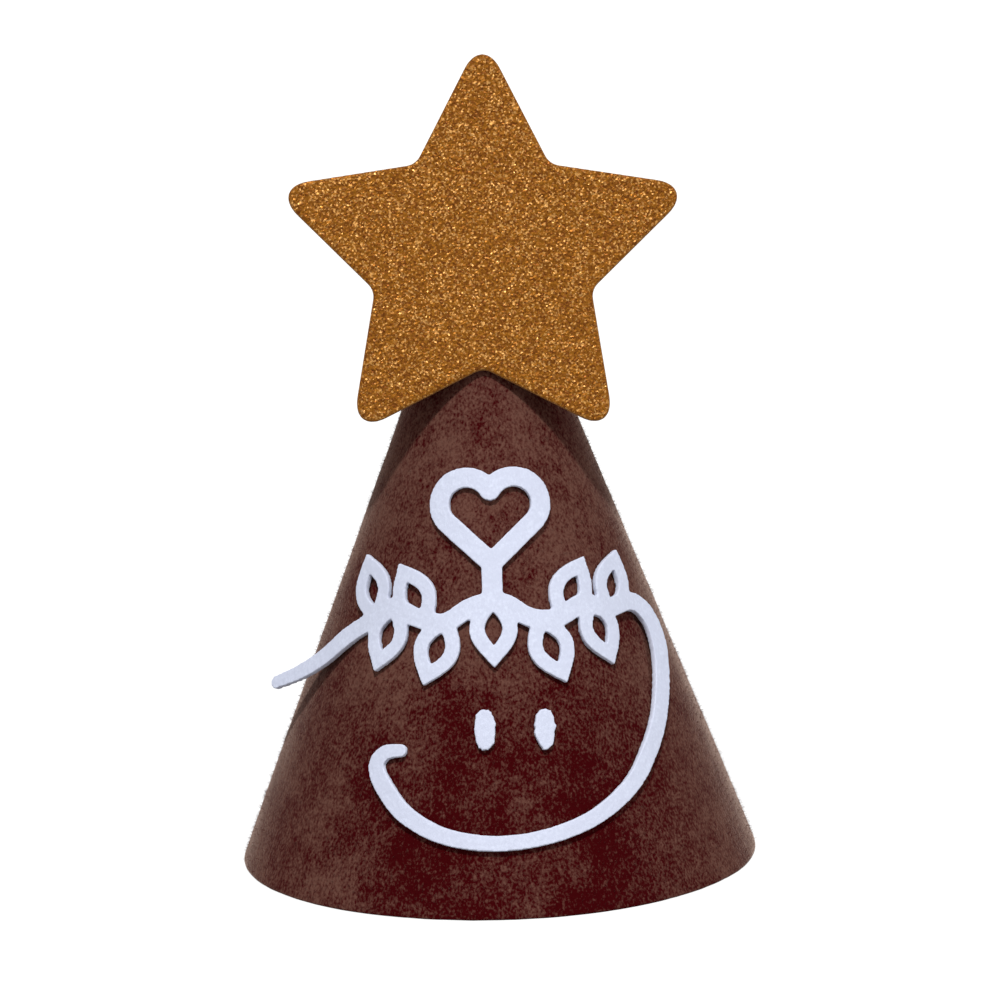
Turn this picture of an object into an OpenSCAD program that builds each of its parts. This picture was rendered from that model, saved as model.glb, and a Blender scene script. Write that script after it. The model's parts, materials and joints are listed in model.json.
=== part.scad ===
// Cone party hat of brown felt, with a glitter star at the tip and a white felt cut-out on its front.
// The origin is the centre of the rim. +Z points up to the tip, and the front of the hat looks along -Y.

/* [Felt cone] */
// Outer diameter of the cone at its rim
base_d = 130; // [115:1:145]
// Height from the rim to the sharp point that the cone would run up to
cone_h = 172; // [155:1:190]
// Thickness of the brown felt
felt_t = 2; // [1:0.25:2.5]
// Outer diameter at the tip, where the rolled felt ends
tip_d = 6; // [6:0.5:9]
// Angle over which the two ends of the felt overlap at the back
lap_angle = 14; // [8:1:25]
// How far the glued ends press into each other
lap_press = 0.3; // [0.2:0.05:0.5]

/* [Glitter star] */
// Distance from the star's centre to where the sides of an arm would meet
star_tip_r = 56; // [48:0.5:58]
// Distance from the star's centre to the corner between two arms
star_notch_r = 28.4; // [24:0.1:32]
// Radius of the rounded end of each arm
star_tip_round = 5; // [3:0.1:6]
// Radius of the rounded corner between two arms
star_notch_round = 4; // [1:0.5:6]
// Thickness of the glitter foam sheet
star_t = 2; // [1:0.25:4]
// Distance from the cone's sharp point down the front to the star's centre
star_drop = 17.6; // [10:0.5:22]
// Turn of the star on its own face, clockwise for a person who looks at the front
star_turn = 1.4; // [-6:0.1:6]
// Gap between the star's back and the front of the cone
star_gap = 0.3; // [0.2:0.05:1]

/* [Glue pad] */
// Width of the glue that fills the wedge between star and cone
glue_w = 10; // [6:0.5:11]
// Length of the glue up the front of the cone
glue_l = 22; // [12:1:24]
// Distance from the star's centre down to the middle of the glue
glue_drop = 12; // [10:0.5:14]

/* [White felt] */
// Thickness of the white felt
white_t = 1.5; // [1:0.25:2.5]
// Film of glue between the white felt and the cone
white_gap = 0.25; // [0.2:0.05:0.5]
// Angle round from the front at which the stiff white felt leaves the cone and runs on straight
lift_off = 50; // [40:1:60]
// Height up the front of the middle of the vine
vine_v = 77; // [74:0.5:80]
// Height by which the vine's stem waves up and down
vine_wave = 2.6; // [0:0.1:4]
// Length of one wave of the stem
wave_l = 26; // [20:1:40]
// Length of one leaf, between the points where the middles of its two sides meet
leaf_l = 14; // [11:0.5:15]
// Width of one leaf, between the middles of its two sides
leaf_w = 8; // [5:0.1:9]
// Width of the strip of felt round a leaf
leaf_strip = 3.7; // [2.5:0.1:4.5]
// Height up the front of the tip of the heart, on the middle line of its strip
heart_v = 89; // [87:0.5:91]
// Height of the middles of the heart's two round lobes above its tip
heart_rise = 15; // [13:0.5:17]
// Distance of the middle of each lobe from the heart's middle line
heart_lobe_u = 5.8; // [4.5:0.1:6.2]
// Radius of each lobe
heart_lobe_r = 6.6; // [6.3:0.1:7.5]
// Width of the strip of felt round the heart
heart_strip = 5; // [3:0.1:6]
// Width of an eye
eye_w = 5; // [3:0.1:7]
// Height of an eye
eye_l = 10; // [7:0.1:12]
// Distance between the middles of the eyes
eye_spacing = 14.7; // [12:0.1:20]
// Height of the eyes up the front
eye_v = 47.3; // [44:0.1:50]
// Distance of the face's middle line from the front line of the cone
face_u = 4.6; // [2:0.1:7]

/* [Hidden] */
$fn = 96;
star_facets = 64;
glue_facets = 32;
half_angle = atan(base_d / 2 / cone_h);
slant = norm([base_d / 2, cone_h]);
felt_across = felt_t / cos(half_angle);
tip_z = cone_h * (1 - tip_d / base_d);
lap_step = felt_across - lap_press;
star_arms = 5;
glue_depth = 8;
eye_sides = 24;
eye_taper = 0.12;
stroke_steps = 3;
leaf_steps = 7;
lobe_steps = 9;
side_steps = 5;
inset = 0.15;
end_angles = [25, 50, 75];

// The white line in the flat sheet, from the end of the tail to the end of the hook.
// Each point is [distance right of the front line, height up the front, width of the line].
tail_line = [
    [-67, 66, 3.2],
    [-58, 67.5, 4],
    [-50, 70, 4.4],
    [-41, 74.3, 4.8]
];
stem_from = -33;
stem_to = 30;
stem_step = 7;
stem_w = 4.8;
smile_line = [
    [39, 81, 4.8],
    [45.4, 77, 5],
    [48, 69, 5.2],
    [47.3, 59.5, 5],
    [44.7, 50.3, 4.9],
    [40, 41.6, 4.7],
    [34.6, 33.9, 4.4],
    [24.8, 25.9, 4.1],
    [13.2, 20.9, 3.9],
    [0.1, 19, 3.9],
    [-12.8, 21.1, 4.2],
    [-23, 27.1, 4.6],
    [-29, 34.9, 4.7],
    [-30.9, 40.2, 4.3],
    [-28.4, 43.2, 3.8],
    [-24.2, 43.4, 3.3]
];
// Each leaf is [distance right of the front line of its foot, angle of the leaf].
leaves = [
    [-31, 104],
    [-17, 114],
    [17, 66],
    [31, 76],
    [-25, -112],
    [-11.5, -112],
    [0, -90],
    [11.5, -68],
    [25, -68]
];

// A point of the flat sheet on the hat: it follows the cone up to the lift-off angle,
// and beyond it the sheet runs on straight. lift is the distance out from the cone's face.
function on_hat(u, v, lift) =
    let (rho = norm([u, slant - v]))
    let (bend = atan2(u, slant - v))
    let (turn = max(-lift_off, min(lift_off, bend / sin(half_angle))))
    let (beyond = bend - turn * sin(half_angle))
    let (down = [sin(turn) * sin(half_angle), -cos(turn) * sin(half_angle), -cos(half_angle)])
    let (across = [cos(turn), sin(turn), 0])
    let (out = [sin(turn) * cos(half_angle), -cos(turn) * cos(half_angle), sin(half_angle)])
    [0, 0, cone_h] + rho * cos(beyond) * down + rho * sin(beyond) * across + lift * out;

// A smooth line through the points, with the widths blended along it
function curve_point(p, i, t) =
    let (a = p[max(i - 1, 0)], b = p[i], c = p[i + 1], d = p[min(i + 2, len(p) - 1)])
    (2 * b + (c - a) * t + (2 * a - 5 * b + 4 * c - d) * t * t + (3 * b - a - 3 * c + d) * t * t * t) / 2;
function curve(p, steps) = [
    for (i = [0 : len(p) - 2]) for (k = [0 : steps - 1]) curve_point(p, i, k / steps),
    p[len(p) - 1]
];

function stem_height(u) = vine_v + vine_wave * sin(360 * (u - stem_from) / wave_l);
// The edge of a leaf at a distance out from the middle line of its strip. It runs from the foot up one side
// and down the other. Each side is half a wave, and the sides meet in points at the foot and at the tip.
function leaf_edge(foot, angle, out) =
    let (reach = out / sin(atan(PI * leaf_w / 2 / leaf_l)))
    let (side = [
        for (k = [1 : leaf_steps - 1])
            let (t = k / leaf_steps)
            let (slope = [leaf_l, PI * leaf_w / 2 * cos(180 * t)])
            [leaf_l * t, leaf_w / 2 * sin(180 * t)] + out * [-slope.y, slope.x] / norm(slope)
    ])
    let (back = [for (k = [len(side) - 1 : -1 : 0]) [side[k].x, -side[k].y]])
    [
        for (p = concat([[-reach, 0]], side, [[leaf_l + reach, 0]], back))
            foot + [p.x * cos(angle) - p.y * sin(angle), p.x * sin(angle) + p.y * cos(angle)]
    ];

// The edge of the heart at a distance out from the middle line of its strip. Straight sides rise from the tip
// and run into two round lobes, which meet on the middle line.
function heart_edge(out) =
    let (side_angle = atan2(heart_rise, heart_lobe_u) - asin(heart_lobe_r / norm([heart_lobe_u, heart_rise])))
    let (r = heart_lobe_r + out)
    let (meet_r = max(r, heart_lobe_r))
    let (meet_v = heart_rise + sqrt(meet_r * meet_r - heart_lobe_u * heart_lobe_u) + min(out, 0))
    let (sweep = 270 - side_angle - acos(heart_lobe_u / meet_r))
    let (lobe = [
        for (k = [0 : lobe_steps - 1])
            let (a = side_angle - 90 + sweep * k / lobe_steps)
            [heart_lobe_u + r * cos(a), heart_rise + r * sin(a)]
    ])
    let (tip = [0, -out / cos(side_angle)])
    let (right = concat([for (k = [1 : side_steps - 1]) tip + (lobe[0] - tip) * k / side_steps], lobe))
    let (back = [for (k = [len(right) - 1 : -1 : 0]) [-right[k].x, right[k].y]])
    [for (p = concat([tip], right, [[0, meet_v]], back)) [0, heart_v] + p];

// The line with a round end added at each of its two ends. The end gets its points at end_angles
// round a half circle from its sides towards its middle.
function end_point(p, d, a) =
    let (ahead = p[2] / 2 * sin(a) * [d.x, d.y] / norm([d.x, d.y]))
    [p.x + ahead.x, p.y + ahead.y, p[2] * cos(a)];
function round_ends(p) =
    let (n = len(p) - 1)
    concat(
        [for (k = [len(end_angles) - 1 : -1 : 0]) end_point(p[0], p[0] - p[1], end_angles[k])],
        p,
        [for (a = end_angles) end_point(p[n], p[n] - p[n - 1], a)]
    );
// One edge of a line: side is 1 on its left and -1 on its right
function line_edge(p, side) = [
    for (i = [0 : len(p) - 1])
        let (d = p[min(i + 1, len(p) - 1)] - p[max(i - 1, 0)])
        [p[i].x, p[i].y] + side * p[i][2] / 2 * [-d.y, d.x] / norm([d.x, d.y])
];

// A strip of felt between two edges, bent to the hat. A closed strip runs round and joins its own start.
// inset is how much it lies inside the two faces of the sheet, for a strip that ends within another one.
module felt_strip(left, right, closed, inset) {
    n = len(left);
    low = white_gap + inset;
    high = white_gap + white_t - inset;
    corners = concat(
        [for (p = left) on_hat(p.x, p.y, low)],
        [for (p = right) on_hat(p.x, p.y, low)],
        [for (p = right) on_hat(p.x, p.y, high)],
        [for (p = left) on_hat(p.x, p.y, high)]
    );
    walls = [
        for (i = [0 : closed ? n - 1 : n - 2])
            for (side = [0 : 3])
                let (a = side * n, b = (side + 1) % 4 * n, j = (i + 1) % n)
                each [[a + i, b + j, a + j], [a + i, b + i, b + j]]
    ];
    ends = closed ? [] : [
        [0, 2 * n, n],
        [0, 3 * n, 2 * n],
        [n - 1, 2 * n - 1, 3 * n - 1],
        [n - 1, 3 * n - 1, 4 * n - 1]
    ];
    polyhedron(points = corners, faces = concat(walls, ends));
}

module felt_line(p, inset) {
    felt_strip(line_edge(p, 1), line_edge(p, -1), false, inset);
}

module cone_profile() {
    polygon([
        [base_d / 2, 0],
        [tip_d / 2, tip_z],
        [tip_d / 2 - felt_across, tip_z],
        [base_d / 2 - felt_across, 0]
    ]);
}

// A layer of felt that starts on the hat's right side, at +X, and runs round by sweep
module cone_layer(sweep) {
    rotate_extrude(angle = sweep) cone_profile();
}

// Places its children on the front line of the cone, s up from the rim and lift out from the felt,
// with X to the right, Y up the slope and Z out of the face.
module on_front(s, lift) {
    translate([0, -base_d / 2, 0]) rotate([90 - half_angle, 0, 0]) translate([0, s, lift]) children();
}

module star_outline() {
    step = 360 / star_arms;
    polygon([
        for (k = [0 : star_arms - 1])
            for (tip = [true, false])
                let (r = tip ? star_tip_r : star_notch_r)
                let (a = 90 - star_turn + step * (tip ? k : k + 0.5))
                r * [cos(a), sin(a)]
    ]);
}

// One sheet of felt rolled into a cone. From the hat's right side it runs round the front and the left to
// the back, where this end lies inside. The other way it moves out, and ends as a step on the back.
module felt_cone() {
    color([0.30, 0.13, 0.11]) {
        cone_layer(-270 - lap_angle);
        translate([0, lap_step, 0]) cone_layer(90);
        translate([0, lap_step, 0]) rotate([90, 0, 0]) linear_extrude(lap_step) cone_profile();
    }
}

module glitter_star() {
    color([0.62, 0.40, 0.16])
        on_front(slant - star_drop, star_gap)
            linear_extrude(star_t)
                offset(r = -star_notch_round)
                    offset(r = star_notch_round + star_tip_round, $fn = star_facets)
                        offset(delta = -star_tip_round)
                            star_outline();
}

// The glue fills the wedge between the flat back of the star and the round cone.
module star_glue() {
    color([0.86, 0.84, 0.76])
        difference() {
            on_front(slant - star_drop - glue_drop, star_gap - glue_depth)
                linear_extrude(glue_depth)
                    hull() {
                        translate([0, (glue_l - glue_w) / 2]) circle(d = glue_w, $fn = glue_facets);
                        translate([0, (glue_w - glue_l) / 2]) circle(d = glue_w, $fn = glue_facets);
                    }
            rotate_extrude() polygon([[0, 0], [base_d / 2, 0], [0, cone_h]]);
        }
}

module white_cutout() {
    stem = [for (u = [stem_from : stem_step : stem_to]) [u, stem_height(u), stem_w]];
    half_leaf = leaf_strip / 2;
    half_heart = heart_strip / 2;
    color([0.90, 0.91, 0.96]) {
        felt_line(round_ends(curve(concat(tail_line, stem, smile_line), stroke_steps)), 0);
        for (leaf = leaves) {
            foot = [leaf[0], stem_height(leaf[0])];
            outer = leaf_edge(foot, leaf[1], half_leaf);
            inner = leaf_edge(foot, leaf[1], -half_leaf);
            felt_strip(outer, inner, true, inset);
        }
        felt_strip(heart_edge(-half_heart), heart_edge(half_heart), true, 0);
        felt_line([[0, stem_height(0), heart_strip], [0, heart_v, heart_strip]], 2 * inset);
    }
}

// An oval of white felt, a little narrower at its lower end. Its edge is made as a strip,
// and the hull closes the middle of the strip.
module eye(side) {
    middle_u = face_u + side * eye_spacing / 2;
    outline = [
        for (k = [0 : eye_sides - 1])
            let (a = 360 * k / eye_sides)
            [middle_u + eye_w / 2 * cos(a) * (1 + eye_taper * sin(a)), eye_v + eye_l / 2 * sin(a)]
    ];
    inner = [for (p = outline) (p + [middle_u, eye_v]) / 2];
    color([0.90, 0.91, 0.96]) hull() felt_strip(outline, inner, true, 0);
}

module left_eye() {
    eye(-1);
}

module right_eye() {
    eye(1);
}

felt_cone();
glitter_star();
star_glue();
white_cutout();
left_eye();
right_eye();
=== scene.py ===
# %% [markdown]
# A party hat of brown felt, with a glitter star at its tip and a white felt cut-out on its front.
# The hat is a flat sheet rolled into a cone and glued where its two ends overlap at the back. The
# star is cut from glitter foam and held by a pad of hot glue. The white felt is one long cut-out: a
# tail, a garland of open leaves with a heart, and a smile. Two ovals are the eyes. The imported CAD
# model comes in first. It gives every size and place, and each piece below stands in for one of its
# nodes with softer forms and real surfaces.

import json
import math

import bmesh
import bpy
import numpy as np
from mathutils import Matrix, Vector

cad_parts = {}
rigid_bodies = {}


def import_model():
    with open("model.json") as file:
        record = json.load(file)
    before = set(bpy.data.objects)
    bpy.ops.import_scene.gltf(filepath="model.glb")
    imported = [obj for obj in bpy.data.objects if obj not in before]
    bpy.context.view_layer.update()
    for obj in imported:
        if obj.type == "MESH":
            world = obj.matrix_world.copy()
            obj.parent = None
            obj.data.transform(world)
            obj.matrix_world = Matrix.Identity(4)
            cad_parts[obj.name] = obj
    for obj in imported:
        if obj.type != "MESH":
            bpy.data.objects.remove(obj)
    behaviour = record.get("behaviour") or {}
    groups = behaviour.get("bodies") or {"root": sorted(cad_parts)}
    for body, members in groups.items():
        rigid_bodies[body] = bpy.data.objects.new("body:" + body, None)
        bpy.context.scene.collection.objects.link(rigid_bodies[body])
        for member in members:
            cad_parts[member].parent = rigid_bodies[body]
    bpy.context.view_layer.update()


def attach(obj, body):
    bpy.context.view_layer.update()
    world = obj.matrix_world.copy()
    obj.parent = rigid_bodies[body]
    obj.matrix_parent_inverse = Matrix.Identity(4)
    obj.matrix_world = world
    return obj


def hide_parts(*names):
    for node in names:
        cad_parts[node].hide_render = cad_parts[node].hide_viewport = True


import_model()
MM = 0.001

# %% [markdown]
# ## Camera
# The photograph was taken from far away with a long lens, a little above the hat and with a slight
# tilt. The place and the lens could be guessed by eye, but the rim, the tip and the star fix them
# well, so they were fitted to those outlines. The camera looks at a point near the middle of the
# hat, then rolls.

# %% Camera
camera_distance = 2.5
camera_height = math.radians(13.21)
camera_roll = math.radians(-1.60)
hat_middle = Vector((0, 0, 86.35 * MM))
aim = Vector((2.56, 1.17, 91.32)) * MM

camera = bpy.data.objects.new("Camera", bpy.data.cameras.new("Camera"))
bpy.context.scene.collection.objects.link(camera)
camera.data.sensor_width = 36
camera.data.lens = 357.9
camera.data.clip_end = 50
towards_camera = Vector((0, -math.cos(camera_height), math.sin(camera_height)))
camera.location = hat_middle + camera_distance * towards_camera
looking = (aim - camera.location).to_track_quat("-Z", "Y")
camera.rotation_mode = "QUATERNION"
camera.rotation_quaternion = looking @ Matrix.Rotation(camera_roll, 3, "Z").to_quaternion()
bpy.context.scene.camera = camera
print("Camera", round(camera_distance / MM), "mm away,", camera.data.lens, "mm lens")

# %% [markdown]
# ## Working by hand in code
# Blender's operators act on what is selected, as they do for the mouse. A few helpers keep that in
# order: one adds a primitive with nothing else selected, one goes into edit mode, one picks parts
# of the mesh by their place, and one adds a modifier and applies it.

# %% Helpers for modelling
def only(piece):
    """Leaves the piece as the one selected object, in object mode."""
    if bpy.context.mode != "OBJECT":
        bpy.ops.object.mode_set(mode="OBJECT")
    for other in bpy.context.scene.objects:
        other.select_set(False)
    piece.select_set(True)
    bpy.context.view_layer.objects.active = piece


def add(primitive, name, **settings):
    """Adds a primitive by itself, under its own name."""
    only(camera)
    camera.select_set(False)
    primitive(**settings)
    piece = bpy.context.object
    piece.name = piece.data.name = name
    return piece


def edit(piece, kind="VERT"):
    """Opens the piece in edit mode, with nothing selected."""
    only(piece)
    bpy.ops.object.mode_set(mode="EDIT")
    bpy.ops.mesh.select_mode(type=kind)
    bpy.ops.mesh.select_all(action="DESELECT")


def pick(piece, test):
    """In edit mode, selects the vertices, edges or faces that pass the test, and nothing else."""
    mesh = bmesh.from_edit_mesh(piece.data)
    kind = bpy.context.tool_settings.mesh_select_mode
    parts = mesh.verts if kind[0] else mesh.edges if kind[1] else mesh.faces
    bpy.ops.mesh.select_all(action="DESELECT")
    found = [part for part in parts if test(part)]
    for part in found:
        part.select_set(True)
    mesh.select_flush_mode()
    bmesh.update_edit_mesh(piece.data)
    return len(found)


def apply_modifier(piece, kind, **settings):
    """Adds a modifier with these settings and applies it."""
    only(piece)
    modifier = piece.modifiers.new(kind.title(), kind)
    for setting, value in settings.items():
        setattr(modifier, setting, value)
    bpy.ops.object.modifier_apply(modifier=modifier.name)


def report(piece):
    """Prints how many triangles the piece has and how large it is."""
    triangles = sum(len(face.vertices) - 2 for face in piece.data.polygons)
    size = [round(side / MM, 1) for side in piece.dimensions]
    print(piece.name, triangles, "triangles,", size, "mm")


print("Helpers are ready")

# %% [markdown]
# ## The felt's finish
# Craft felt is a mat of short fibres pressed together. Up close its colour is never even: darker
# fibres show between lighter ones, in fine streaks and in larger cloudy patches. The same effect
# serves the brown and the white felt, so it is a node group. Noise textures at three sizes are
# mixed into one mask. The mask blends two colours, and it gives the height for a fine bump.

# %% The felt group
def new_group(name, inputs, outputs):
    """Makes an empty shader group with these named inputs, with their values, and these outputs."""
    group = bpy.data.node_groups.new(name, "ShaderNodeTree")
    for socket, (kind, value) in inputs.items():
        made = group.interface.new_socket(socket, in_out="INPUT", socket_type="NodeSocket" + kind)
        made.default_value = value
    for socket, kind in outputs.items():
        group.interface.new_socket(socket, in_out="OUTPUT", socket_type="NodeSocket" + kind)
    return group, group.nodes.new("NodeGroupInput"), group.nodes.new("NodeGroupOutput")


def feed(links, socket, value):
    """Feeds an input from another socket, or sets it to a plain value."""
    if isinstance(value, bpy.types.NodeSocket):
        links.new(value, socket)
    else:
        socket.default_value = value


def object_place(nodes):
    """The place of each point in the piece's own coordinates."""
    return nodes.new("ShaderNodeTexCoord").outputs["Object"]


def math_node(nodes, links, operation, first, second):
    """Adds a math node between two sockets or numbers and returns its result."""
    node = nodes.new("ShaderNodeMath")
    node.operation = operation
    feed(links, node.inputs[0], first)
    feed(links, node.inputs[1], second)
    return node.outputs[0]


def vector_node(nodes, links, operation, *values, scale=None):
    """Adds a vector math node on one or two vectors, or a vector and a scale: its outputs."""
    node = nodes.new("ShaderNodeVectorMath")
    node.operation = operation
    for socket, value in zip(node.inputs, values):
        feed(links, socket, value)
    if scale is not None:
        feed(links, node.inputs["Scale"], scale)
    return node.outputs


def noise_node(nodes, links, place, scale, detail=2.0, roughness=0.5):
    """Adds a noise texture at a place, with a number of blobs per metre, and returns its value."""
    node = nodes.new("ShaderNodeTexNoise")
    node.inputs["Detail"].default_value = detail
    node.inputs["Roughness"].default_value = roughness
    feed(links, node.inputs["Vector"], place)
    feed(links, node.inputs["Scale"], scale)
    return node.outputs[0]


def ramp_node(nodes, links, value, low, high):
    """Spreads a value so that low becomes 0 and high becomes 1."""
    node = nodes.new("ShaderNodeMapRange")
    node.inputs["From Min"].default_value = low
    node.inputs["From Max"].default_value = high
    links.new(value, node.inputs["Value"])
    return node.outputs[0]


def mix_node(nodes, links, amount, first, second):
    """Mixes two colours, each a socket or a value, by an amount from 0 to 1."""
    mix = nodes.new("ShaderNodeMix")
    mix.data_type = "RGBA"
    for socket, value in zip(("Factor", "A", "B"), (amount, first, second)):
        feed(links, mix.inputs[socket], value)
    return mix.outputs["Result"]


def felt_group():
    """Weighs grain, tufts, clouds and painted sheen into one mask blending the two colours of a
    felt.
    """
    group, given, result = new_group(
        "Felt fibres",
        {
            "Deep Color": ("Color", (0.05, 0.01, 0.01, 1)),
            "Fibre Color": ("Color", (0.15, 0.07, 0.05, 1)),
            "Grain": ("Float", 1500.0),
            "Patches": ("Float", 0.5),
            "Painted Sheen": ("Float", 0.0),
        },
        {"Color": "Color", "Height": "Float"},
    )
    nodes, links = group.nodes, group.links
    place = object_place(nodes)
    streaks = nodes.new("ShaderNodeMapping")
    streaks.inputs["Scale"].default_value = (1, 1, 0.7)
    links.new(place, streaks.inputs["Vector"])
    grain = noise_node(nodes, links, streaks.outputs[0], given.outputs["Grain"], 2, 0.6)
    tufts = noise_node(nodes, links, streaks.outputs[0], 500, 2, 0.6)
    cloud = noise_node(nodes, links, place, 60, 4, 0.65)
    grain_part = math_node(nodes, links, "MULTIPLY", grain, 0.7)
    tuft_part = math_node(nodes, links, "MULTIPLY", tufts, 0.3)
    fine = math_node(nodes, links, "ADD", grain_part, tuft_part)
    uneven = math_node(nodes, links, "SUBTRACT", cloud, 0.5)
    patch = math_node(nodes, links, "MULTIPLY", uneven, given.outputs["Patches"])
    # Painted sheen: away from the low front the felt is painted paler, where the light catches its
    # nap.
    painted_sheen = math_node(nodes, links, "MULTIPLY", given.outputs["Painted Sheen"], 0.13)
    light = math_node(nodes, links, "ADD", math_node(nodes, links, "ADD", fine, patch), painted_sheen)
    fibres = ramp_node(nodes, links, light, 0.485, 0.74)
    deep, pale = given.outputs["Deep Color"], given.outputs["Fibre Color"]
    felt_colour = mix_node(nodes, links, fibres, deep, pale)
    links.new(felt_colour, result.inputs["Color"])
    links.new(fine, result.inputs["Height"])
    return group


felt_fibres = felt_group()
print("Group", felt_fibres.name, "with", len(felt_fibres.nodes), "nodes")

# %% [markdown]
# ## Brown felt and white felt
# Loose fibres stand up from felt and catch the light at the hat's sides, where it looks paler and
# dustier than in the middle. A sheen on the shader does just that. Its strength and tint are plain
# values on the shader itself. Low on the front the brown is deepest. Away from there the colour is
# painted paler as well, a painted sheen towards the sides and the top, so the distance from that
# place feeds the group. The white felt is smoother, with a faint cool tint.

# %% Felt materials
def colour(red, green, blue):
    """A colour as a screen shows it, from 0 to 255, as linear values for Blender."""
    return tuple((c / 255 / 12.92) if c < 10.3 else ((c / 255 + 0.055) / 1.055) ** 2.4
                 for c in (red, green, blue)) + (1.0,)


def new_material(name, roughness, **constants):
    """Makes a material and returns it with its nodes, its links and its Principled shader."""
    material = bpy.data.materials.new(name)
    material.use_nodes = True
    shader = material.node_tree.nodes["Principled BSDF"]
    shader.inputs["Roughness"].default_value = roughness
    for socket, value in constants.items():
        shader.inputs[socket.replace("_", " ")].default_value = value
    return material, material.node_tree.nodes, material.node_tree.links, shader


def place_group(nodes, group, **values):
    """Puts a group into a material, with its own values."""
    node = nodes.new("ShaderNodeGroup")
    node.node_tree = group
    for socket, value in values.items():
        node.inputs[socket.replace("_", " ")].default_value = value
    return node


def add_bump(nodes, links, height, shader, distance, strength=1.0):
    """Feeds a height through a Bump node, whose distance is in metres, to the shader."""
    bump = nodes.new("ShaderNodeBump")
    bump.inputs["Distance"].default_value = distance
    bump.inputs["Strength"].default_value = strength
    links.new(height, bump.inputs["Height"])
    links.new(bump.outputs["Normal"], shader.inputs["Normal"])


def felt_material(name, deep, fibre, grain, patches, bump, **constants):
    """Makes a felt and returns it with its placed group."""
    material, nodes, links, shader = new_material(name, 0.95, **constants)
    felt = place_group(
        nodes, felt_fibres, Deep_Color=deep, Fibre_Color=fibre, Grain=grain, Patches=patches,
    )
    links.new(felt.outputs["Color"], shader.inputs["Base Color"])
    add_bump(nodes, links, felt.outputs["Height"], shader, bump)
    return material, felt


brown_felt, felt = felt_material(
    "Brown felt", colour(57, 0, 3), colour(101, 67, 57), 1650, 0.5, 0.25 * MM,
    Specular_IOR_Level=0.05, Sheen_Weight=0.85, Sheen_Roughness=0.28,
    Sheen_Tint=colour(200, 180, 166),
)
# The felt is painted paler away from this place: a painted sheen at the sides and the top.
deepest_place = (6 * MM, -60 * MM, 12 * MM)
nodes, links = brown_felt.node_tree.nodes, brown_felt.node_tree.links
away = vector_node(nodes, links, "DISTANCE", object_place(nodes), deepest_place)["Value"]
links.new(ramp_node(nodes, links, away, 25 * MM, 62 * MM), felt.inputs["Painted Sheen"])

white_felt, _ = felt_material(
    "White felt", colour(206, 211, 230), colour(218, 224, 242), 1500, 0.3, 0.12 * MM,
    Specular_IOR_Level=0.1, Sheen_Weight=0.1, Sheen_Roughness=0.5, Sheen_Tint=colour(240, 242, 250),
)
loose_felt, _ = felt_material(
    "Loose brown fibres", colour(78, 36, 32), colour(120, 96, 84), 900, 0.6, 0.0,
    Specular_IOR_Level=0.1, Sheen_Weight=0.3, Sheen_Roughness=0.3, Sheen_Tint=colour(200, 176, 160),
)
print("Materials", brown_felt.name + ",", white_felt.name, "and", loose_felt.name)

# %% [markdown]
# ## Glitter
# Glitter is thousands of tiny metal flakes, each at its own angle. A smooth gold colour would look
# like paint. Here a cell texture gives every flake its own shade and its own tilt: the tilt is
# added to the surface's normal, so that single flakes catch the light and others stay dark. A few
# cells also get a pale colour: painted glints, bright specks of light painted into the colour.

# %% The glitter group
def glitter_group():
    """Gives each cell of a cell texture its own shade, roughness and tilt, and paints glints on a
    few.
    """
    group, given, result = new_group(
        "Glitter flakes",
        {
            "Dark Color": ("Color", (0.2, 0.06, 0.01, 1)),
            "Bright Color": ("Color", (0.6, 0.3, 0.08, 1)),
            "Flash Color": ("Color", (1.0, 0.7, 0.4, 1)),
            "Flakes": ("Float", 2300.0),
            "Tilt": ("Float", 0.6),
        },
        {"Color": "Color", "Roughness": "Float", "Normal": "Vector"},
    )
    nodes, links = group.nodes, group.links
    cells = nodes.new("ShaderNodeTexVoronoi")
    links.new(object_place(nodes), cells.inputs["Vector"])
    links.new(given.outputs["Flakes"], cells.inputs["Scale"])
    parts = nodes.new("ShaderNodeSeparateColor")
    links.new(cells.outputs["Color"], parts.inputs["Color"])
    dark, bright = given.outputs["Dark Color"], given.outputs["Bright Color"]
    shade = mix_node(nodes, links, parts.outputs["Red"], dark, bright)
    # Painted glints: a few cells are mixed towards a pale colour, bright specks painted into the
    # glitter.
    painted_glint = ramp_node(nodes, links, parts.outputs["Blue"], 0.72, 1.3)
    flake_colour = mix_node(nodes, links, painted_glint, shade, given.outputs["Flash Color"])
    links.new(flake_colour, result.inputs["Color"])
    rough = ramp_node(nodes, links, parts.outputs["Green"], -1.0, 2.2)
    links.new(rough, result.inputs["Roughness"])
    centred = vector_node(nodes, links, "SUBTRACT", cells.outputs["Color"], (0.5, 0.5, 0.5))[0]
    tilt = vector_node(nodes, links, "SCALE", centred, scale=given.outputs["Tilt"])[0]
    surface = nodes.new("ShaderNodeNewGeometry").outputs["Normal"]
    total = vector_node(nodes, links, "ADD", tilt, surface)[0]
    links.new(vector_node(nodes, links, "NORMALIZE", total)[0], result.inputs["Normal"])
    return group


glitter_flakes = glitter_group()
print("Group", glitter_flakes.name, "with", len(glitter_flakes.nodes), "nodes")

# %% Glitter, foam and glue
glitter, nodes, links, shader = new_material(
    "Gold glitter", 0.4, Metallic=0.5, Specular_IOR_Level=0.15,
)
flakes = place_group(
    nodes, glitter_flakes,
    Dark_Color=colour(92, 46, 2), Bright_Color=colour(132, 82, 14),
    # The pale colour here is that of the painted glints.
    Flash_Color=colour(202, 156, 92), Flakes=2300, Tilt=0.3,
)
for socket, target in (("Color", "Base Color"), ("Roughness", "Roughness"), ("Normal", "Normal")):
    links.new(flakes.outputs[socket], shader.inputs[target])

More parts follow.
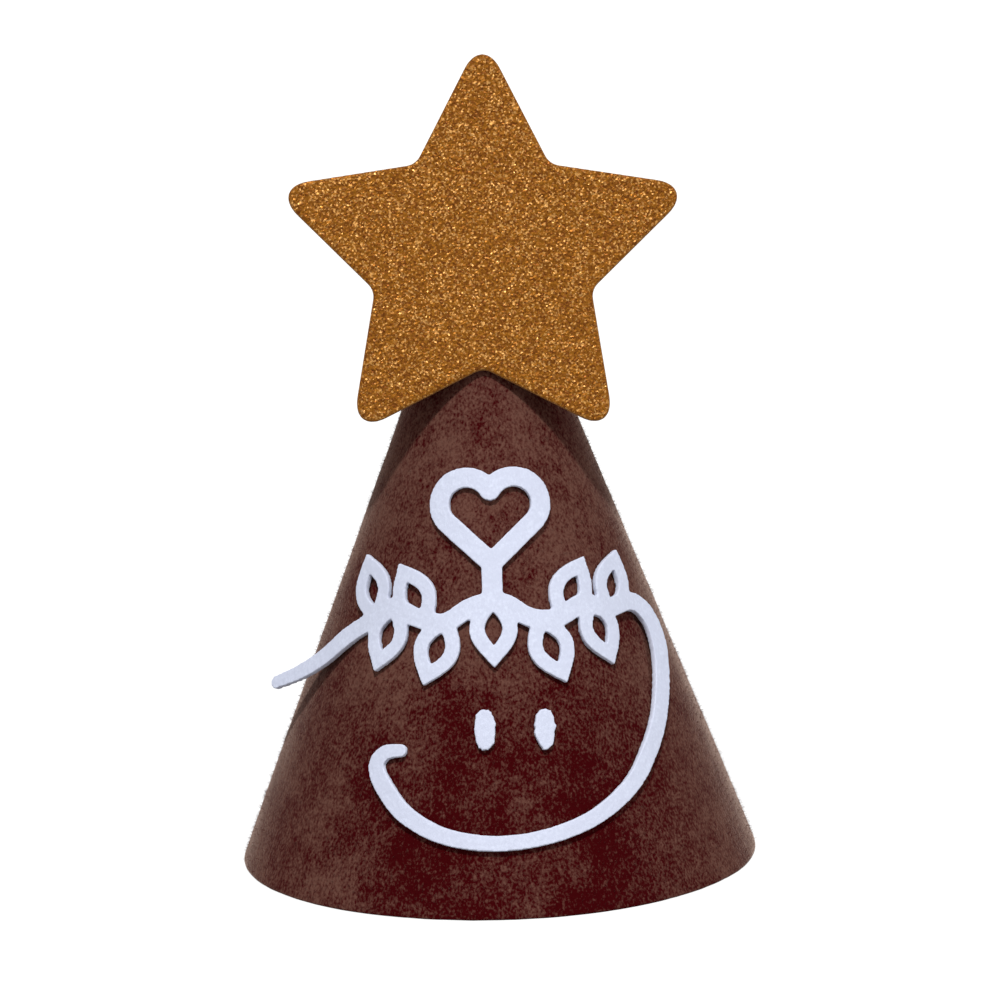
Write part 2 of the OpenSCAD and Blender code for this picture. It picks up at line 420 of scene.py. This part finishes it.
foam, nodes, links, shader = new_material("Gold foam", 0.7, Specular_IOR_Level=0.25)
pores = noise_node(nodes, links, object_place(nodes), 2600)
speckle = ramp_node(nodes, links, pores, 0.3, 0.7)
foam_colour = mix_node(nodes, links, speckle, colour(128, 82, 36), colour(150, 102, 50))
links.new(foam_colour, shader.inputs["Base Color"])
add_bump(nodes, links, speckle, shader, 0.06 * MM)

glue, nodes, links, shader = new_material(
    "Hot glue", 0.28, IOR=1.48, Subsurface_Weight=0.4, Subsurface_Radius=(0.002, 0.002, 0.0015),
)
wave = noise_node(nodes, links, object_place(nodes), 320)
milky = ramp_node(nodes, links, wave, 0.35, 0.65)
glue_colour = mix_node(nodes, links, milky, colour(206, 200, 182), colour(228, 224, 210))
links.new(glue_colour, shader.inputs["Base Color"])
add_bump(nodes, links, wave, shader, 0.2 * MM)
print("Materials", glitter.name + ",", foam.name, "and", glue.name)

# %% [markdown]
# ## The rolled cone
# The real cone starts as a sector of felt. A cone primitive would have no thickness and no seam.
# Here the section of the felt wall is drawn once, a long thin strip with rounded corners, and spun
# round the hat's axis. It starts at the right side. One way it runs round the front and the left to
# the back and ends inside the overlap. The other way it first steps out by one thickness, then runs
# to the back and ends there, so that its cut edge shows as the seam. The sizes are those of the CAD
# model.

# %% Sizes of the cone
rim_r = 65 * MM
sharp_h = 172 * MM
felt_t = 2 * MM
tip_r = 3 * MM
half_angle = math.atan(rim_r / sharp_h)
slant = math.hypot(rim_r, sharp_h)
felt_across = felt_t / math.cos(half_angle)
tip_z = sharp_h * (1 - tip_r / rim_r)
lap_angle = math.radians(14)
lap_step = felt_across + 0.08 * MM
end_flat = 0.9 * MM
rim_round = 0.7 * MM
tip_round = 0.4 * MM
cut_round = 0.35 * MM
print("Cone", round(tip_z / MM, 1), "mm tall, felt", round(felt_across / MM, 2), "mm across, level")

# %% Draw the section of the wall
cone = add(bpy.ops.mesh.primitive_plane_add, "Felt_cone", size=1)
edit(cone)
section = bmesh.from_edit_mesh(cone.data)
for corner in section.verts:
    radius, height = (rim_r, 0) if corner.co.y < 0 else (tip_r, tip_z)
    corner.co = (radius - (felt_across if corner.co.x < 0 else 0), 0, height)
bmesh.update_edit_mesh(cone.data)
pick(cone, lambda v: v.co.z < tip_z / 2)
bpy.ops.mesh.bevel(offset=rim_round, segments=4, affect="VERTICES")
pick(cone, lambda v: v.co.z > tip_z / 2)
bpy.ops.mesh.bevel(offset=tip_round, segments=3, affect="VERTICES")
bpy.ops.mesh.select_all(action="SELECT")
bpy.ops.mesh.delete(type="ONLY_FACE")
bpy.ops.mesh.select_mode(type="EDGE")
pick(cone, lambda e: e.calc_length() > 100 * MM)
bpy.ops.mesh.subdivide(number_cuts=100)
print("The section has", len(bmesh.from_edit_mesh(cone.data).verts), "points")

# %% Roll it round
def close_end(move):
    """Draws the selected loop on by a short straight step, closes it and rounds the cut edge."""
    bpy.ops.mesh.extrude_edges_move(TRANSFORM_OT_translate={"value": move})
    bpy.ops.mesh.edge_face_add()
    bpy.ops.mesh.bevel(offset=cut_round, segments=3, affect="EDGES")


bpy.ops.mesh.select_all(action="SELECT")
inner_sweep = math.radians(270) + lap_angle
bpy.ops.mesh.spin(steps=180, angle=inner_sweep, center=(0, 0, 0), axis=(0, 0, 1))
bpy.ops.mesh.select_mode(type="EDGE")
close_end((end_flat * math.cos(lap_angle), -end_flat * math.sin(lap_angle), 0))

pick(cone, lambda e: all(abs(v.co.y) < 1e-7 and v.co.x > 0 for v in e.verts))
bpy.ops.mesh.extrude_edges_move(TRANSFORM_OT_translate={"value": (0, lap_step, 0)})
bpy.ops.mesh.spin(steps=57, angle=-math.pi / 2, center=(0, lap_step, 0), axis=(0, 0, 1))
close_end((-end_flat, 0, 0))
bpy.ops.mesh.select_all(action="SELECT")
bpy.ops.mesh.remove_doubles(threshold=1e-6)
bpy.ops.mesh.normals_make_consistent(inside=False)
bpy.ops.object.mode_set(mode="OBJECT")
report(cone)

# %% [markdown]
# Felt is never dead flat. A displacement by a soft cloud texture gives it slow waves, and a second
# one gives its faces and its cut rim a fine unevenness, which the light shows at the sides of the
# hat.

# %% Give the felt its unevenness
def clouds(name, size):
    """A cloud texture with blobs of this size."""
    texture = bpy.data.textures.new(name, "CLOUDS")
    texture.noise_scale = size
    return texture


def roughen(piece, size, amount):
    """Moves the surface in and out by up to half the amount, in blobs of this size."""
    name = piece.name + " clouds " + str(round(size / MM, 1))
    apply_modifier(piece, "DISPLACE", texture=clouds(name, size), texture_coords="LOCAL",
                   mid_level=0.5, strength=amount)


def smooth_by_angle(piece, degrees):
    """Shades the piece smooth, apart from edges sharper than the angle."""
    only(piece)
    bpy.ops.object.shade_smooth_by_angle(angle=math.radians(degrees))


roughen(cone, 14 * MM, 0.3 * MM)
roughen(cone, 3 * MM, 0.12 * MM)
smooth_by_angle(cone, 60)
cone.data.materials.append(brown_felt)
report(cone)

# %% [markdown]
# ## Loose fibres
# Short fibres stand up from the felt and soften its outline against the light. Real hair strands
# would not survive the export, so each fibre is a thin closed spike. One spike is made from a cone
# primitive with three sides. Its points are then copied thousands of times in one go, because so
# many objects would be slow: each copy gets its own place on the felt, its own length and its own
# lean, with a fixed seed. The rolling leaves the faces in an order that changes from run to run, so
# they are sorted by place before the draw.

# %% Make the loose fibres
fibre_count = 42000
fibre_r = 0.045 * MM
fibre_short, fibre_long = 0.4 * MM, 1.4 * MM
root_depth = 0.12 * MM
root_spread = 0.3 * MM
clear_rim, clear_tip = 1.3 * MM, 1 * MM
spike = add(bpy.ops.mesh.primitive_cone_add, "Loose_fibres", vertices=3, radius1=1, radius2=0,
            depth=1, location=(0, 0, 0.5))
only(spike)
bpy.ops.object.transform_apply(location=True, rotation=True, scale=True)
spike_points = np.array([v.co for v in spike.data.vertices])
spike_faces = [tuple(face.vertices) for face in spike.data.polygons]


def unit(vectors):
    """The vectors, each with a length of 1."""
    return vectors / np.linalg.norm(vectors, axis=1)[:, None]


def by_place(face):
    """The corners of a face, rounded and sorted, which order the faces alike in each run."""
    return sorted(tuple(round(c, 6) for c in cone.data.vertices[i].co) for i in face.vertices)


rng = np.random.default_rng(11)
felt_faces = [f for f in cone.data.polygons
              if clear_rim < f.center.z < tip_z - clear_tip and 0.1 < f.normal.z < 0.6]
felt_faces.sort(key=by_place)
area = np.array([f.area for f in felt_faces])
chosen = rng.choice(len(felt_faces), fibre_count, p=area / area.sum())
foot = np.array([felt_faces[i].center for i in chosen])
up = np.array([felt_faces[i].normal for i in chosen])
lean = rng.normal(size=(fibre_count, 3))
shift = lean - (lean * up).sum(1)[:, None] * up
foot += shift * root_spread - up * root_depth
along = unit(up * rng.uniform(0.25, 1.0, (fibre_count, 1)) + shift[:, [1, 2, 0]] * 0.5)
side = unit(np.cross(along, rng.normal(size=(fibre_count, 3))))
other = np.cross(along, side)
long = rng.uniform(fibre_short, fibre_long, (fibre_count, 1))
thick = fibre_r * rng.uniform(0.7, 1.2, (fibre_count, 1))
points = foot[:, None]
for axis, way in enumerate((side * thick, other * thick, along * long)):
    points = points + spike_points[None, :, axis, None] * way[:, None]
faces = [tuple(i + len(spike_points) * n for i in face)
         for n in range(fibre_count) for face in spike_faces]
spike.data.clear_geometry()
spike.data.from_pydata(points.reshape(-1, 3).tolist(), [], faces)
spike.data.materials.append(loose_felt)
bpy.context.view_layer.update()
report(spike)

# %% [markdown]
# ## The star
# The star is cut from a sheet of glitter foam, 2 mm thick, with soft rounded arms. It starts as a
# circle of ten points. Every second point is drawn in to make the notches, and the corners are
# rounded. The outline is filled and drawn up to the thickness of the sheet. A remesh then covers it
# with small even faces, because the glitter side needs them.

# %% Cut the star
star_tip_r = 56 * MM
star_notch_r = 28.4 * MM
star_t = 2 * MM
star_turn = math.radians(1.4)
# How far the rounds run along the edges: 4 mm in radius at a notch and 5 mm at a tip.
notch_cut = 2.06 * MM
tip_cut = 9.89 * MM

star = add(bpy.ops.mesh.primitive_circle_add, "Glitter_star", vertices=10, radius=star_tip_r,
           fill_type="NGON")
edit(star)


def is_tip(vertex):
    """True for the points at the ends of the arms, one every 72 degrees from straight up."""
    turns = math.atan2(vertex.co.x, vertex.co.y) / math.radians(72)
    return abs(turns - round(turns)) < 0.1


notches = pick(star, lambda v: not is_tip(v))
draw_in = star_notch_r / star_tip_r
bpy.ops.transform.resize(value=(draw_in, draw_in, draw_in), center_override=(0, 0, 0))
pick(star, lambda v: v.co.length < 1.01 * star_notch_r)
bpy.ops.mesh.bevel(offset=notch_cut, segments=5, affect="VERTICES")
pick(star, lambda v: v.co.length > 1.5 * star_notch_r)
bpy.ops.mesh.bevel(offset=tip_cut, segments=14, affect="VERTICES")
bpy.ops.mesh.select_all(action="SELECT")
bpy.ops.mesh.extrude_region_move(TRANSFORM_OT_translate={"value": (0, 0, star_t)})
bpy.ops.mesh.select_all(action="SELECT")
bpy.ops.mesh.normals_make_consistent(inside=False)
bpy.ops.object.mode_set(mode="OBJECT")
print("Star with", notches, "notches")
report(star)

# %% [markdown]
# Real glitter stands on the foam in tiny facets. The remesh leaves small steps along slanted edges,
# so a light smoothing comes first. The points of the front are then shaken by a random step in all
# directions, with a fixed seed so that each run gives the same star, and its faces are split into
# triangles. Each small triangle faces its own way. They stay flat shaded, and the foam's sides and
# back stay smooth.

# %% Make the glitter's facets
facet = 0.42 * MM
facet_shake = 0.1 * MM
apply_modifier(star, "REMESH", mode="VOXEL", voxel_size=facet)
apply_modifier(star, "SMOOTH", factor=0.5, iterations=4)
edit(star)
pick(star, lambda v: v.co.z > star_t - 0.1 * MM)
bpy.ops.transform.vertex_random(offset=facet_shake, uniform=0.6, normal=0.0, seed=5)
bpy.ops.mesh.quads_convert_to_tris(quad_method="SHORTEST_DIAGONAL")
bpy.ops.object.mode_set(mode="OBJECT")
star.data.materials.append(foam)
star.data.materials.append(glitter)
for face in star.data.polygons:
    front = face.center.z > star_t - 0.25 * MM
    face.material_index = 1 if front else 0
    face.use_smooth = not front
report(star)

# %% [markdown]
# The star leans back with the front of the cone. Its middle lies a short way down the slope from
# the cone's sharp point, and it is turned a little clockwise, as in the photograph.

# %% Put the star in place
def on_front(up, lift):
    """The place on the cone's front line, up from the rim along the slope and off the felt."""
    return (Matrix.Translation((0, -rim_r, 0)) @ Matrix.Rotation(math.pi / 2 - half_angle, 4, "X")
            @ Matrix.Translation((0, up, lift)))


def settle(piece, place):
    """Moves the piece to its place and keeps the place in its mesh."""
    only(piece)
    piece.matrix_world = place
    bpy.ops.object.transform_apply(location=True, rotation=True, scale=True)


star_drop = 17.6 * MM
star_up = slant - star_drop
star_lift = 0.3 * MM
settle(star, on_front(star_up, star_lift) @ Matrix.Rotation(-star_turn, 4, "Z"))
report(star)

# %% [markdown]
# ## The pad of hot glue
# The flat star touches the round cone only along one line, so the wedges beside it are filled with
# hot glue. A cylinder is stretched into a long pad, the shape of the cone is cut out of it, and a
# remesh with some smoothing melts its edges.

# %% Make the glue
glue_w = 10 * MM
glue_l = 22 * MM
glue_deep = 8 * MM
glue_drop = 12 * MM
pad = add(bpy.ops.mesh.primitive_cylinder_add, "Star_glue", vertices=32, radius=glue_w / 2,
          depth=glue_deep, location=(0, 0, -glue_deep / 2))
only(pad)
bpy.ops.object.transform_apply(location=True, rotation=True, scale=True)
edit(pad)
for side in (1, -1):
    pick(pad, lambda v: v.co.y * side > 0.01 * MM)
    bpy.ops.transform.translate(value=(0, side * (glue_l - glue_w) / 2, 0))
bpy.ops.object.mode_set(mode="OBJECT")
settle(pad, on_front(star_up - glue_drop, star_lift))
cutter = add(bpy.ops.mesh.primitive_cone_add, "Cone_shape", vertices=128, radius1=rim_r,
             depth=sharp_h, location=(0, 0, sharp_h / 2))
apply_modifier(pad, "BOOLEAN", operation="DIFFERENCE", object=cutter, solver="EXACT")
bpy.data.objects.remove(cutter)
apply_modifier(pad, "REMESH", mode="VOXEL", voxel_size=0.2 * MM)
apply_modifier(pad, "SMOOTH", factor=0.5, iterations=4)
smooth_by_angle(pad, 80)
pad.data.materials.append(glue)
report(pad)

# %% [markdown]
# ## The white cut-out, flat
# On the real hat this is one sheet of white felt, cut flat and glued on. It is easiest to make it
# the same way: flat first, then laid round the cone. In the flat sheet, X is the distance to the
# right of the hat's front line and Y the height up the slope. The long line runs from the tail at
# the left, in waves along the garland, down the right side and round the smile to a small hook.

# %% The line's points
vine_v = 77
vine_wave = 2.6
wave_l = 26
stem_from = -33


def stem_height(u):
    """Height of the waving stem at a distance u to the right of the front line, both in mm."""
    return vine_v + vine_wave * math.sin(2 * math.pi * (u - stem_from) / wave_l)


# Each point is the distance to the right, the height, and the width of the line, in mm.
tail = [(-67, 66, 3.2), (-58, 67.5, 4), (-50, 70, 4.4), (-41, 74.3, 4.8)]
stem = [(u, stem_height(u), 4.8) for u in range(-33, 31, 7)]
smile = [
    (39, 81, 4.8), (45.4, 77, 5), (48, 69, 5.2), (47.3, 59.5, 5), (44.7, 50.3, 4.9),
    (40, 41.6, 4.7), (34.6, 33.9, 4.4), (24.8, 25.9, 4.1), (13.2, 20.9, 3.9), (0.1, 19, 3.9),
    (-12.8, 21.1, 4.2), (-23, 27.1, 4.6), (-29, 34.9, 4.7), (-30.9, 40.2, 4.3),
    (-28.4, 43.2, 3.8), (-24.2, 43.4, 3.3),
]
print("The line has", len(tail + stem + smile), "points")

# %% [markdown]
# A smooth curve goes through these points. The ribbon is drawn along it as by hand: one edge lies
# across the line at its start, and it is extruded from place to place, each time as wide as the
# line is there. A disc rounds each end.

# %% Draw a ribbon along a line
def smooth_line(points, steps):
    """A smooth curve through the points, with this many steps between two of them."""
    p = np.array([points[0]] + list(points) + [points[-1]], float)
    line = []
    for a, b, c, d in zip(p, p[1:], p[2:], p[3:]):
        for t in np.arange(steps) / steps:
            line.append((2 * b + (c - a) * t + (2 * a - 5 * b + 4 * c - d) * t * t
                         + (3 * b - a - 3 * c + d) * t ** 3) / 2)
    return np.array(line + [p[-1]]) * MM


def ribbon(name, line):
    """A flat ribbon along the line, whose points are x, y and width in metres."""
    way = np.gradient(line[:, :2], axis=0)
    across = np.stack([-way[:, 1], way[:, 0]], 1) / np.hypot(*way.T)[:, None] * line[:, 2:] / 2
    sides = np.stack([line[:, :2] + across, line[:, :2] - across], 1)
    piece = add(bpy.ops.mesh.primitive_plane_add, name, size=1)
    edit(piece)
    mesh = bmesh.from_edit_mesh(piece.data)
    for corner in mesh.verts:
        corner.co = (*sides[0 if corner.co.x < 0 else 1][0 if corner.co.y > 0 else 1], 0)
    bmesh.update_edit_mesh(piece.data)
    pick(piece, lambda v: min((v.co.xy - Vector(s)).length for s in sides[1]) < 1e-7)
    for left, right in sides[2:]:
        bpy.ops.mesh.extrude_edges_move()
        mesh = bmesh.from_edit_mesh(piece.data)
        ends = [v for v in mesh.verts if v.select]
        ends.sort(key=lambda v: (v.co.xy - Vector(left)).length - (v.co.xy - Vector(right)).length)
        ends[0].co, ends[1].co = (*left, 0), (*right, 0)
        bmesh.update_edit_mesh(piece.data)
    for x, y, width in (line[0], line[-1]):
        bpy.ops.mesh.primitive_circle_add(vertices=24, radius=width / 2, fill_type="NGON",
                                          location=(x, y, 0))
    bpy.ops.object.mode_set(mode="OBJECT")
    return piece


long_line = ribbon("White_cutout", smooth_line(tail + stem + smile, 6))
report(long_line)

# %% [markdown]
# ## The leaves
# Each leaf is an open ring with a point at both ends. One leaf is made: a circle is pulled into a
# pointed oval, its face is inset by the width of the strip, and the inner face is deleted. Copies
# of it are then turned and set along the stem.

# %% Make one leaf
leaf_l = 14 * MM
leaf_w = 8 * MM
leaf_strip = 3.7 * MM
leaf = add(bpy.ops.mesh.primitive_circle_add, "Leaf", vertices=28, radius=1, fill_type="NGON")
edit(leaf)
mesh = bmesh.from_edit_mesh(leaf.data)
steep = math.pi * leaf_w / 2 / leaf_l
out = leaf_strip / 2
tip_out = out / math.sin(math.atan(steep))
for vertex in mesh.verts:
    along = math.acos(max(-1, min(1, vertex.co.y))) / math.pi
    side = (vertex.co.x > 1e-6) - (vertex.co.x < -1e-6)
    slope = math.hypot(1, steep * math.cos(math.pi * along))
    if side == 0:
        vertex.co = (-tip_out if along < 0.5 else leaf_l + tip_out, 0, 0)
    else:
        vertex.co = (leaf_l * along - out * steep * math.cos(math.pi * along) / slope,
                     side * (leaf_w / 2 * math.sin(math.pi * along) + out / slope), 0)
bmesh.update_edit_mesh(leaf.data)
bpy.ops.mesh.select_mode(type="FACE")
bpy.ops.mesh.select_all(action="SELECT")
bpy.ops.mesh.inset(thickness=leaf_strip)
bpy.ops.mesh.delete(type="FACE")
bpy.ops.object.mode_set(mode="OBJECT")
report(leaf)

# %% Set the leaves along the stem
# Each leaf is the distance of its foot to the right of the front line, in mm, and its angle.
leaf_places = [
    (-31, 104), (-17, 114), (17, 66), (31, 76),
    (-25, -112), (-11.5, -112), (0, -90), (11.5, -68), (25, -68),
]
leaves = []
for foot, angle in leaf_places:
    copy = leaf.copy()
    copy.data = leaf.data.copy()
    bpy.context.scene.collection.objects.link(copy)
    on_stem = Matrix.Translation((foot * MM, stem_height(foot) * MM, 0))
    settle(copy, on_stem @ Matrix.Rotation(math.radians(angle), 4, "Z"))
    leaves.append(copy)
bpy.data.objects.remove(leaf)
print(len(leaves), "leaves on the stem")

# %% [markdown]
# ## The heart
# The heart is drawn with the same ribbon. Its middle line rises straight from the tip, runs round
# the lobe and ends in the notch. Only the right half is drawn, and a mirror adds the left one. A
# short stem ties the tip to the garland.

# %% Draw the heart and its stem
heart_v = 89
lobe_u, lobe_v, lobe_r = 5.8, 15, 6.6
heart_strip = 5
stem_middle_v = 83
side_angle = math.atan2(lobe_v, lobe_u) - math.asin(lobe_r / math.hypot(lobe_u, lobe_v))
around = np.linspace(side_angle - math.pi / 2, math.pi - math.acos(lobe_u / lobe_r), 28)
lobe = [(lobe_u + lobe_r * math.cos(a), heart_v + lobe_v + lobe_r * math.sin(a), heart_strip)
        for a in around]
heart = ribbon("Heart", np.array([(0, heart_v, heart_strip)] + lobe) * MM)
apply_modifier(heart, "MIRROR", use_axis=(True, False, False), use_mirror_merge=False)
rise = [(0, v, heart_strip) for v in (stem_height(0), stem_middle_v, heart_v)]
heart_stem = ribbon("Heart_stem", np.array(rise) * MM)
report(heart)

# %% [markdown]
# ## One sheet of felt
# The strips are joined and drawn up to the thickness of the felt. They still run through each
# other, so a fine remesh fuses them into one closed piece, as if cut from one sheet. It also rounds
# the cut edges a little, which suits felt. A light smoothing takes the last steps away, and a fine
# displacement gives the cut edges the small waver that scissors leave.

# %% Fuse the strips
white_t = 1.5 * MM
parts = [long_line, heart, heart_stem] + leaves
only(long_line)
for part in parts:
    part.select_set(True)
bpy.ops.object.join()
white = bpy.context.object


def thicken(piece):
    """Draws flat felt up to its thickness, with all faces turned out."""
    edit(piece, "FACE")
    pick(piece, lambda f: f.normal.z < 0)
    bpy.ops.mesh.flip_normals()
    bpy.ops.mesh.select_all(action="SELECT")
    bpy.ops.mesh.extrude_region_move(TRANSFORM_OT_translate={"value": (0, 0, white_t)})
    bpy.ops.mesh.select_all(action="SELECT")
    bpy.ops.mesh.normals_make_consistent(inside=False)
    bpy.ops.object.mode_set(mode="OBJECT")


def make_felt(piece, voxel):
    """Fuses thick strips into one closed piece of felt with soft edges."""
    apply_modifier(piece, "REMESH", mode="VOXEL", voxel_size=voxel)
    apply_modifier(piece, "SMOOTH", factor=0.5, iterations=3)
    roughen(piece, 1.1 * MM, 0.16 * MM)
    roughen(piece, 6 * MM, 0.2 * MM)


thicken(white)
make_felt(white, 0.3 * MM)
report(white)

# %% [markdown]
# ## Laid round the cone
# A flat sheet wraps round a cone without any stretch: each distance to the sharp point stays as it
# is, and the angle round that point opens into a larger angle round the hat. No modifier does this,
# so each point is worked out. The felt is stiff: past the lift-off angle it leaves the cone and
# runs on straight, which is why the end of the tail stands free of the hat at the left.

# %% Lay the sheet on the hat
lift_off = math.radians(50)
white_gap = 0.25 * MM


def wrap(piece):
    """Lays a flat piece round the cone."""
    points = np.empty(len(piece.data.vertices) * 3)
    piece.data.vertices.foreach_get("co", points)
    u, v, lift = points.reshape(-1, 3).T
    reach = np.hypot(u, slant - v)
    bend = np.arctan2(u, slant - v)
    turn = np.clip(bend / math.sin(half_angle), -lift_off, lift_off)
    beyond = bend - turn * math.sin(half_angle)
    level = np.zeros_like(turn)
    outward = np.stack([np.sin(turn), -np.cos(turn), level], 1)
    across = np.stack([np.cos(turn), np.sin(turn), level], 1)
    up = np.array([0, 0, 1])
    down = outward * math.sin(half_angle) - up * math.cos(half_angle)
    out = outward * math.cos(half_angle) + up * math.sin(half_angle)
    place = (sharp_h * up + (reach * np.cos(beyond))[:, None] * down
             + (reach * np.sin(beyond))[:, None] * across + (white_gap + lift)[:, None] * out)
    piece.data.vertices.foreach_set("co", place.ravel())
    piece.data.update()


wrap(white)
smooth_by_angle(white, 80)
white.data.materials.append(white_felt)
report(white)

# %% [markdown]
# ## The eyes
# Two small ovals with nearly straight sides, a little narrower at the bottom. They were cut by
# hand, so each starts as its own circle, and its edge is shaken a little, with its own seed.

# %% Make the eyes
eye_w, eye_l = 5 * MM, 10 * MM
eye_spacing = 14.7 * MM
face_u, eye_v = 4.6 * MM, 47.3 * MM
squareness = 2.7
narrowing = 0.1
cut_shake = 0.3 * MM
eyes = []
for name, side, seed in (("Left_eye", -1, 3), ("Right_eye", 1, 8)):
    eye = add(bpy.ops.mesh.primitive_circle_add, name, vertices=40, radius=eye_w / 2,
              fill_type="NGON")
    edit(eye)
    bpy.ops.mesh.select_all(action="SELECT")
    bpy.ops.transform.resize(value=(1, eye_l / eye_w, 1), center_override=(0, 0, 0))
    mesh = bmesh.from_edit_mesh(eye.data)
    for vertex in mesh.verts:
        x, y = vertex.co.x / (eye_w / 2), vertex.co.y / (eye_l / 2)
        reach = (abs(x) ** squareness + abs(y) ** squareness) ** (1 / squareness)
        square = math.hypot(x, y) / reach
        vertex.co = (x * square * eye_w / 2 * (1 + narrowing * y), y * square * eye_l / 2, 0)
    bmesh.update_edit_mesh(eye.data)
    bpy.ops.transform.vertex_random(offset=cut_shake, uniform=1.0, normal=0.0, seed=seed)
    bpy.ops.transform.resize(value=(1, 1, 0), center_override=(0, 0, 0))
    bpy.ops.transform.translate(value=(face_u + side * eye_spacing / 2, eye_v, 0))
    thicken(eye)
    make_felt(eye, 0.22 * MM)
    wrap(eye)
    smooth_by_angle(eye, 80)
    eye.data.materials.append(white_felt)
    eyes.append(eye)
    report(eye)

# %% [markdown]
# ## Floor and light
# The hat stands on a plain white floor. It shines a little by itself, and more so for the camera,
# so that it is white where the light falls on it and keeps the soft shadow of the hat. It is clear
# from below, and its faint shine lights the inside of the hat there. A lamp near the hat would
# leave the far floor grey, so the main light is a sun with a wide soft disc, high at the front. It
# throws the short dark shadows under the white strips and the star. Three wide weak lamps lift the
# sides and the back of the hat, and the pale world does the rest.

# %% Floor
def seen_rays(nodes, links):
    """1 for rays from the camera, a mirror or through glass, and 0 for light on other things."""
    rays = nodes.new("ShaderNodeLightPath").outputs
    shiny = math_node(nodes, links, "MAXIMUM", rays["Is Glossy Ray"], rays["Is Transmission Ray"])
    return math_node(nodes, links, "MAXIMUM", rays["Is Camera Ray"], shiny)


floor_glow = 0.66
floor_shine = 0.15
floor = add(bpy.ops.mesh.primitive_plane_add, "Floor", size=12)
floor_material, nodes, links, shader = new_material("White floor", 0.9, Specular_IOR_Level=0.0)
shader.inputs["Base Color"].default_value = (0.25, 0.25, 0.25, 1)
shader.inputs["Emission Color"].default_value = (1, 1, 1, 1)
shown = math_node(nodes, links, "MULTIPLY", seen_rays(nodes, links), floor_glow)
links.new(math_node(nodes, links, "ADD", shown, floor_shine), shader.inputs["Emission Strength"])
below = nodes.new("ShaderNodeMixShader")
links.new(nodes.new("ShaderNodeNewGeometry").outputs["Backfacing"], below.inputs["Fac"])
links.new(shader.outputs[0], below.inputs[1])
links.new(nodes.new("ShaderNodeBsdfTransparent").outputs[0], below.inputs[2])
links.new(below.outputs[0], nodes["Material Output"].inputs["Surface"])
floor.data.materials.append(floor_material)
print("Floor", floor.dimensions.x, "m wide")

# %% Lamps and world
def lamp(name, kind, place, power):
    """A lamp that looks at the middle of the hat."""
    made = bpy.data.objects.new(name, bpy.data.lights.new(name, kind))
    bpy.context.scene.collection.objects.link(made)
    made.data.energy = power
    made.location = place
    made.rotation_mode = "QUATERNION"
    made.rotation_quaternion = (hat_middle - Vector(place)).to_track_quat("-Z", "Y")
    return made


sun = lamp("Soft sun", "SUN", (-0.05, -0.9, 1.55), 2.8)
sun.data.angle = math.radians(5)
# Each fill lamp is its place in metres and its power in watts: left, right and behind.
fill_lamps = [((-1.4, -0.9, 0.5), 4), ((1.4, -0.9, 0.5), 7), ((0.2, 1.5, 0.8), 8)]
for place, power in fill_lamps:
    fill = lamp("Fill lamp", "AREA", place, power)
    fill.data.size = 1.0

world = bpy.data.worlds.new("Studio")
bpy.context.scene.world = world
world.use_nodes = True
nodes, links = world.node_tree.nodes, world.node_tree.links
studio = nodes["Background"]
studio.inputs["Color"].default_value = (1, 1, 1, 1)
light_share = 0.18
shown = math_node(nodes, links, "MULTIPLY", seen_rays(nodes, links), 1 - light_share)
links.new(math_node(nodes, links, "ADD", shown, light_share), studio.inputs["Strength"])
bpy.context.scene.view_settings.view_transform = "Standard"
print("A sun, three fill lamps and a pale world")

# %% [markdown]
# ## Riding the body
# Every piece rides on the one body of the hat and stands for its CAD node, which stays in the
# physics model.

# %% Ride, replace and finish
for piece, node, slot in (
    (cone, "felt_cone", "brown_felt"),
    (spike, None, "brown_felt"),
    (star, "glitter_star", "gold_glitter"),
    (pad, "star_glue", "hot_glue"),
    (white, "white_cutout", "white_felt"),
    (eyes[0], "left_eye", "white_felt"),
    (eyes[1], "right_eye", "white_felt"),
):
    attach(piece, "root")
    if node:
        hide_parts(node)
